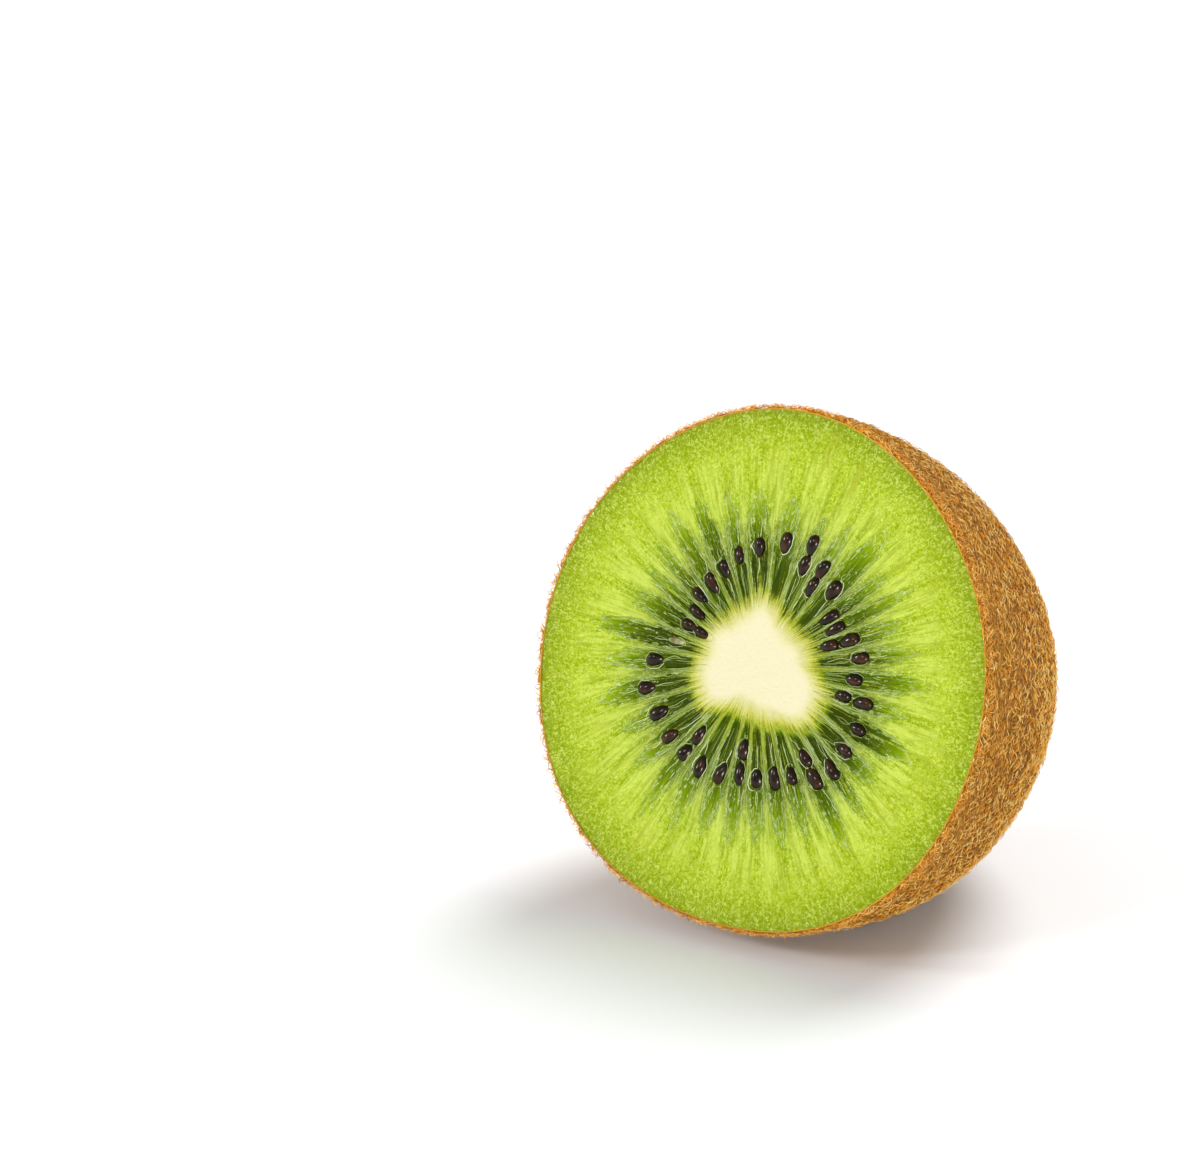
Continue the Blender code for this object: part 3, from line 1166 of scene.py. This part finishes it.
def near(value, middle, width):
    """1 where a value is close to the middle one, 0 further away than the width."""
    off = calculate(tree, "ABSOLUTE", calculate(tree, "SUBTRACT", value, middle))
    return rise(tree, off, width, 0.25 * width)


def tinge(mask, strength, color, tone):
    """Lay a tone over a colour where the mask is, at a strength."""
    return blend(tree, calculate(tree, "MULTIPLY", mask, strength), color, tone)


share = attribute(tree, "share")
gap = attribute(tree, "gap")
jelly = attribute(tree, "jelly")
core = attribute(tree, "core")

# %% Colour the outer flesh
granules = noise(tree, place, 3200.0, detail=3.0, roughness=0.6, distortion=1.2)
worms = noise(tree, place, 1500.0, detail=1.0, distortion=2.2)
patches = noise(tree, place, 240.0, detail=2.0)
color = ramp(tree, share, [
    (0.30, tint(132, 146, 30)), (0.38, tint(90, 108, 10)), (0.45, tint(60, 76, 3)),
    (0.51, tint(60, 79, 1)), (0.57, tint(86, 112, 1)), (0.64, tint(130, 156, 3)),
    (0.73, tint(158, 179, 19)), (0.84, tint(155, 175, 17)), (0.93, tint(130, 150, 3)),
    (1.00, tint(104, 120, 1)),
])
outside = rise(tree, share, 0.42, 0.66)
color = tinge(product(outside, rise(tree, patches, 0.50, 0.68)), 0.25, color, tint(180, 199, 56))
color = tinge(product(outside, rise(tree, patches, 0.50, 0.34)), 0.25, color, tint(142, 166, 6))
dashes = streaks(110.0, 36.0, detail=2.0, distortion=0.8)
color = tinge(product(outside, rise(tree, dashes, 0.54, 0.66)), 0.45, color, tint(196, 211, 112))
color = tinge(product(outside, rise(tree, dashes, 0.46, 0.34)), 0.40, color, tint(124, 149, 2))
grainy = calculate(tree, "MULTIPLY_ADD", rise(tree, share, 0.40, 0.56), 0.6, 0.4)
color = tinge(product(grainy, rise(tree, granules, 0.50, 0.64)), 0.60, color, tint(186, 202, 76))
color = tinge(product(grainy, rise(tree, granules, 0.50, 0.38)), 0.75, color, tint(118, 143, 1))
# Painted highlights: thin pale squiggles that stand for wet glints on the grainy outer flesh.
painted_glints = product(grainy, near(worms, 0.5, 0.05), rise(tree, granules, 0.44, 0.58))
color = tinge(painted_glints, 0.45, color, tint(204, 218, 130))

# %% Colour the walls and the lines between the core and the seeds
broad_streaks = streaks(20.0, 6.7)
thin_streaks = streaks(66.0, 9.0)
fingers = streaks(70.0, 9.0, detail=4.0, distortion=0.4)
flecks = streaks(95.0, 39.0, detail=2.0, distortion=0.8)
fibres = streaks(52.0, 4.5, detail=1.0)

fray = calculate(tree, "MULTIPLY_ADD", rise(tree, share, 0.38, 0.60), 1.3, 0.4)
fray = product(calculate(tree, "SUBTRACT", fingers, 0.5), fray)
torn_gap = calculate(tree, "ADD", gap, fray)
wall_zone = product(rise(tree, share, 0.42, 0.58), rise(tree, share, 0.92, 0.70))
rays = product(wall_zone, rise(tree, torn_gap, 0.12, 0.50), rise(tree, broad_streaks, 0.30, 0.62))
color = tinge(rays, 0.72, color, tint(188, 204, 86))
streaky = product(rise(tree, share, 0.42, 0.60), rise(tree, share, 0.92, 0.72))
color = tinge(product(streaky, rise(tree, thin_streaks, 0.47, 0.36)), 0.45, color,
              tint(108, 135, 1))
color = tinge(product(streaky, rise(tree, thin_streaks, 0.54, 0.65)), 0.45, color,
              tint(190, 207, 92))
inner_zone = product(rise(tree, share, 0.19, 0.30), rise(tree, share, 0.60, 0.44))
color = tinge(product(inner_zone, rise(tree, fibres, 0.50, 0.38)), 0.50, color, tint(60, 76, 4))
color = tinge(product(inner_zone, near(fibres, 0.57, 0.03)), 0.65, color, tint(172, 186, 120))
hairlines = near(streaks(104.0, 5.0, detail=1.0), 0.50, 0.025)
line_zone = product(rise(tree, share, 0.22, 0.30), rise(tree, share, 0.68, 0.46))
color = tinge(product(line_zone, hairlines), 0.60, color, tint(190, 204, 136))
furrows = near(streaks(118.0, 7.0, detail=1.0), 0.50, 0.035)
color = tinge(product(line_zone, furrows), 0.45, color, tint(64, 84, 1))

# %% Colour the chambers
inside = rise(tree, torn_gap, 0.12, -0.10)
uneven = calculate(tree, "MULTIPLY_ADD", thin_streaks, 1.9, 0.02)
dark = product(inside, jelly, uneven)
depths = ramp(tree, dark, [
    (0.00, tint(136, 160, 6)), (0.20, tint(118, 144, 1)), (0.40, tint(92, 117, 1)),
    (0.60, tint(72, 94, 1)), (0.80, tint(60, 79, 2)), (1.00, tint(46, 59, 3)),
])
color = blend(tree, rise(tree, dark, 0.02, 0.30), color, depths)
torn = rise(tree, jelly, 0.05, 0.30)
# Pale torn lining along the chambers' edges and feathery flecks at their outer ends: partly the
# tissue's own pale colour, partly painted wet highlights.
torn_edges_and_highlights = product(torn, near(torn_gap, 0.04, 0.07), rise(tree, flecks, 0.48, 0.58))
color = tinge(torn_edges_and_highlights, 0.85, color, tint(192, 206, 150))
feather_highlights = product(torn, inside, rise(tree, share, 0.38, 0.50), rise(tree, flecks, 0.62, 0.70))
color = tinge(feather_highlights, 0.85, color, tint(192, 206, 150))

# %% Colour the core
frayed = product(calculate(tree, "SUBTRACT", granules, 0.5), rise(tree, core, 1.0, 0.7), 0.50)
wisps = product(calculate(tree, "SUBTRACT", fibres, 0.5), rise(tree, core, 1.0, 0.6), 1.10)
frayed = calculate(tree, "ADD", core, calculate(tree, "ADD", frayed, wisps))
cream = ramp(tree, frayed, [
    (0.10, tint(132, 146, 30)), (0.28, tint(154, 162, 46)), (0.42, tint(178, 180, 76)),
    (0.56, tint(192, 191, 106)), (0.80, tint(204, 200, 142)), (1.00, tint(212, 206, 172)),
])
color = blend(tree, rise(tree, frayed, 0.06, 0.36), color, cream)
tree.links.new(color, shader.inputs["Base Color"])

# %% Make the flesh moist
damp = calculate(tree, "MULTIPLY_ADD", granules, -0.25, 0.56)
damp = calculate(tree, "SUBTRACT", damp, product(dark, 0.15))
tree.links.new(damp, shader.inputs["Roughness"])
wet = product(rise(tree, flecks, 0.58, 0.70), rise(tree, core, 1.0, 0.7), 0.45)
tree.links.new(wet, shader.inputs["Coat Weight"])
height = grain_height(tree, place, 1500.0, 4200.0, 0.6)
off_core = rise(tree, core, 1.0, 0.7)
height = calculate(tree, "ADD", height, product(thin_streaks, off_core, 0.8))
height = calculate(tree, "ADD", height, product(flecks, off_core, 0.5))
roughen(tree, shader, height, 0.7, 0.14 * MM)
flesh.data.materials.append(flesh_finish)

# %% Lay out the texture map of the flesh
FACE_SPAN = 54.0 * MM  # what the whole map covers
BACK_SPOT = 0.06  # the hidden back shares a small patch in a corner of the map

flat = seen_from_face(points(flesh))
corner_of = np.empty(len(flesh.data.loops), dtype=np.int32)
flesh.data.loops.foreach_get("vertex_index", corner_of)
at_front = np.repeat(
    [polygon.normal.dot(face_normal) > 0.0 for polygon in flesh.data.polygons],
    [polygon.loop_total for polygon in flesh.data.polygons],
)
front_uv = 0.5 + flat[corner_of][:, :2] / FACE_SPAN
back_uv = BACK_SPOT + 0.9 * BACK_SPOT * flat[corner_of][:, :2] / (0.5 * FACE_SPAN)
chart = flesh.data.uv_layers.new(name="OFBake")
chart.data.foreach_set("uv", np.where(at_front[:, None], front_uv, back_uv).ravel())
print("map of the flesh:", front_uv.min().round(3), "to", front_uv.max().round(3))

# %% [markdown]
# ## The finish of the skin
# Under the hairs the rind is leathery: tan patches near the cut, browner ones further back,
# and a thin golden edge where the knife went through. Its tones are kept dark, partly as
# painted shade under the hairs. Short pale marks that lie round the fruit stand for the felt
# of the finest hairs, with dark marks of painted shade between them.

# %% Finish the skin
skin_finish, tree, shader = finish(
    "kiwi_skin", Roughness=0.8, IOR=1.4, Specular_IOR_Level=0.2
)
place = face_coordinates(tree)
parts = node(tree, "ShaderNodeSeparateXYZ", {"Vector": place}).outputs
behind = calculate(tree, "MULTIPLY", parts["Z"], -1.0 / MM)
# The rind's tones are kept dark, partly as painted shade under the coat of hairs.
front = mottled(
    tree, place, 500.0, tint(146, 101, 28), tint(162, 114, 36), tint(178, 127, 46)
)
far = mottled(tree, place, 700.0, tint(112, 74, 26), tint(126, 85, 32), tint(140, 96, 40))
color = blend(tree, rise(tree, behind, 3.0, 11.0), front["Color"], far["Color"])
crosswise = stretched(tree, place, (2300.0, 2300.0, 10000.0))
felt_and_shade = noise(tree, crosswise, 1.0, detail=1.0, distortion=1.2)
# Dark marks: painted shade between the finest hairs. Pale marks: the finest hairs themselves.
color = tinge(rise(tree, felt_and_shade, 0.50, 0.40), 0.85, color, tint(58, 30, 5))
color = tinge(rise(tree, felt_and_shade, 0.52, 0.62), 0.85, color, tint(224, 160, 72))
color = blend(tree, rise(tree, behind, 0.45, 0.10), color, tint(186, 138, 42))
tree.links.new(color, shader.inputs["Base Color"])
height = calculate(tree, "ADD", grain_height(tree, place, 900.0, 3600.0, 0.5), felt_and_shade)
roughen(tree, shader, height, 0.6, 0.16 * MM)
skin.data.materials.append(skin_finish)


# %% Finish the hairs
def hair_finish(name, stops, root_shade):
    """A finish for strands: tones from a ramp, darker at the root."""
    material, tree, shader = finish(name, Roughness=0.6, IOR=1.45, Specular_IOR_Level=0.15)
    marks = use(tree, strand)
    color = ramp(tree, marks["Tone"], stops)
    shade = calculate(tree, "MULTIPLY", rise(tree, marks["Along"], 0.5, 0.0), root_shade)
    color = blend(tree, shade, color, tint(56, 28, 6))
    tree.links.new(color, shader.inputs["Base Color"])
    return material


coat_tones = [
    (0.0, tint(126, 67, 5)), (0.25, tint(188, 113, 18)), (0.5, tint(238, 161, 50)),
    (0.72, tint(254, 195, 84)), (1.0, tint(255, 224, 136)),
]
coat_finish = hair_finish("kiwi_hair", coat_tones, root_shade=0.8)
rim_finish = hair_finish("kiwi_rim_hair", coat_tones, root_shade=0.3)
for piece in coat:
    piece.data.materials.append(rim_finish if piece.name == "rim_hairs" else coat_finish)

# %% Finish the membranes
membrane_finish, tree, shader = finish("kiwi_membrane", Roughness=0.25, IOR=1.4)
marks = use(tree, strand)
# The palest tones are partly the membranes' own pale colour and partly painted wet sparkle.
color = ramp(tree, marks["Tone"], [
    (0.0, tint(96, 122, 16)), (0.5, tint(168, 189, 108)), (1.0, tint(232, 240, 214)),
])
tree.links.new(color, shader.inputs["Base Color"])
membranes.data.materials.append(membrane_finish)


# %% Finish the seeds
def seed_finish(name, dark, middle, light, scale, roughness):
    """Glossy mottled seed coat with fine grain."""
    material, tree, shader = finish(
        name, Coat_Weight=0.35, Coat_Roughness=0.03, Coat_IOR=1.5, Specular_IOR_Level=0.15,
        Specular_Tint=(1.0, 0.72, 0.5, 1.0),
    )
    place = object_coordinates(tree)
    marks = mottled(tree, place, scale, dark, middle, light)
    tree.links.new(marks["Color"], shader.inputs["Base Color"])
    sheen = calculate(tree, "MULTIPLY_ADD", marks["Mask"], 0.3, roughness)
    tree.links.new(sheen, shader.inputs["Roughness"])
    roughen(tree, shader, grain_height(tree, place, 1800.0, 6000.0, 0.4), 0.5, 0.05 * MM)
    return material


seeds.data.materials.append(seed_finish(
    "kiwi_seed", tint(6, 2, 0), tint(20, 8, 1), tint(60, 29, 10), 1000.0, 0.22,
))
pale_seeds.data.materials.append(seed_finish(
    "kiwi_pale_seed", tint(78, 64, 36), tint(122, 118, 80), tint(172, 178, 140), 900.0, 0.2,
))

# %% Finish the stalk button
button_finish, tree, shader = finish("kiwi_stalk", Roughness=0.85, IOR=1.4)
place = object_coordinates(tree)
wood = mottled(tree, place, 900.0, tint(92, 62, 26), tint(136, 98, 44), tint(186, 150, 86))
color = wood["Color"]
color = blend(tree, rise(tree, attribute(tree, "height"), 0.05, 0.30), color, tint(196, 162, 98))
color = blend(tree, rise(tree, attribute(tree, "crack"), 0.2, 0.9), color, tint(52, 32, 12))
tree.links.new(color, shader.inputs["Base Color"])
roughen(tree, shader, grain_height(tree, place, 1500.0, 5000.0, 0.6), 0.8, 0.15 * MM)
stalk_button.data.materials.append(button_finish)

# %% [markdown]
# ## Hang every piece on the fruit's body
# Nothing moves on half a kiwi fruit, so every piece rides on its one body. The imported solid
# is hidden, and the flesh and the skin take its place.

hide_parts("kiwi_half")
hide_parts("kiwi_half")
for piece, slot in (
    (flesh, "flesh"), (membranes, "flesh"), (skin, "skin"), (seeds, "seed"),
    (pale_seeds, "seed"), (stalk_button, "stalk_scar"),
):
    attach(piece, "root")
for piece in coat:
    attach(piece, "root")

# %% [markdown]
# ## The studio
# A pale floor without end, a warm white sky that fills the shadows, and four lamps: a large
# soft one high behind the fruit, which throws the one soft shadow forward; and three smaller
# ones, by the camera, on the left and in front, which light the cut face more than the floor
# and put the sparkle on seeds and juice.

# %% Set the floor and the light
floor = new_piece("floor", bpy.ops.mesh.primitive_plane_add, size=8.0)
floor_finish, _tree, _shader = finish(
    "floor", Base_Color=(0.90, 0.925, 0.95, 1.0), Roughness=1.0, Specular_IOR_Level=0.0
)
floor.data.materials.append(floor_finish)

sky = bpy.data.worlds.new("sky")
sky.use_nodes = True
glow = sky.node_tree.nodes["Background"].inputs
glow["Color"].default_value = (1.0, 0.95, 0.89, 1.0)
glow["Strength"].default_value = 0.42
bpy.context.scene.world = sky
bpy.context.scene.view_settings.view_transform = "Standard"


def lamp(name, towards, angle, strength):
    """A lamp far away in a direction, seen under an angle in degrees: more is softer."""
    bpy.ops.object.light_add(type="SUN")
    made = bpy.context.object
    made.name = name
    made.rotation_euler = Vector(towards).to_track_quat("Z", "Y").to_euler()
    made.data.angle = math.radians(angle)
    made.data.energy = strength * math.pi


lamp("back", (0.05, 0.60, 0.80), 36.0, 0.81)
lamp("low", (0.56, -0.81, 0.14), 16.0, 0.62)
lamp("left", (-0.80, -0.50, 0.30), 11.0, 0.32)
lamp("front", (-0.20, -0.75, 0.55), 12.0, 0.16)

# %% Set up the camera
AZIMUTH = math.radians(34.7)
ELEVATION = math.radians(20.0)
DISTANCE = 0.800  # from the middle of the cut face, along the camera's own axis
TO_LEFT = 0.0158  # how far it stands to the left of that
TO_TOP = 0.00912  # and above it
LENS = 243.1

back = Vector((math.sin(AZIMUTH) * math.cos(ELEVATION), -math.cos(AZIMUTH) * math.cos(ELEVATION),
               math.sin(ELEVATION)))
right = Vector((math.cos(AZIMUTH), math.sin(AZIMUTH), 0.0))
up = back.cross(right)
bpy.ops.object.camera_add()
camera = bpy.context.object
axes = Matrix((right, up, back)).transposed().to_4x4()
stand = face_centre + back * DISTANCE - right * TO_LEFT + up * TO_TOP
camera.matrix_world = Matrix.Translation(stand) @ axes
camera.data.sensor_width = 36.0
camera.data.lens = LENS
camera.data.clip_start = 0.01
bpy.context.scene.camera = camera
